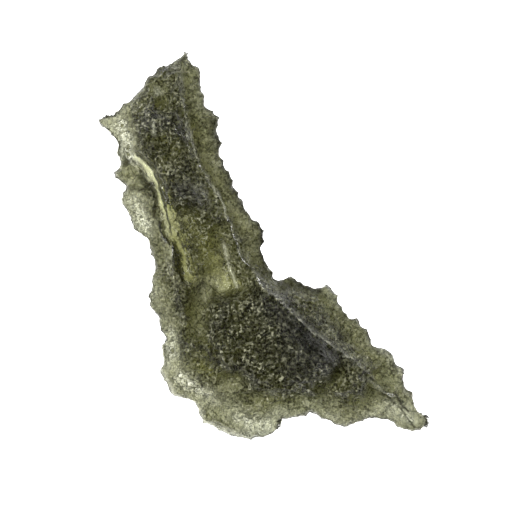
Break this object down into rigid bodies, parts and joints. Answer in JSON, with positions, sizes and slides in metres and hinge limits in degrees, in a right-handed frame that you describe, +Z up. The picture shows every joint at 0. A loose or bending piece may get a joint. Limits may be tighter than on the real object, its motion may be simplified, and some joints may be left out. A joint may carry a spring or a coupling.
{
  "type": "moldavite",
  "caption": "Natural bent shard of olive-green tektite glass with a ridge, a flute, etched pits and thin see-through edges; lies flat as a specimen.",
  "frame": {"origin": "middle of the shard's outline seen from above, on the surface that it lies on", "axes": "+Z up, +Y along the longer side of the outline towards the narrow end, +X towards the toe of the bend"},
  "size_m": [0.0263, 0.031, 0.0057],
  "materials": {
    "tektite_glass": "natural etched glass, satin in the pits and glossy on the crests, see-through where thin"
  },
  "bodies": {
    "root": {"moldavite": "tektite_glass"}
  },
  "joints": []
}
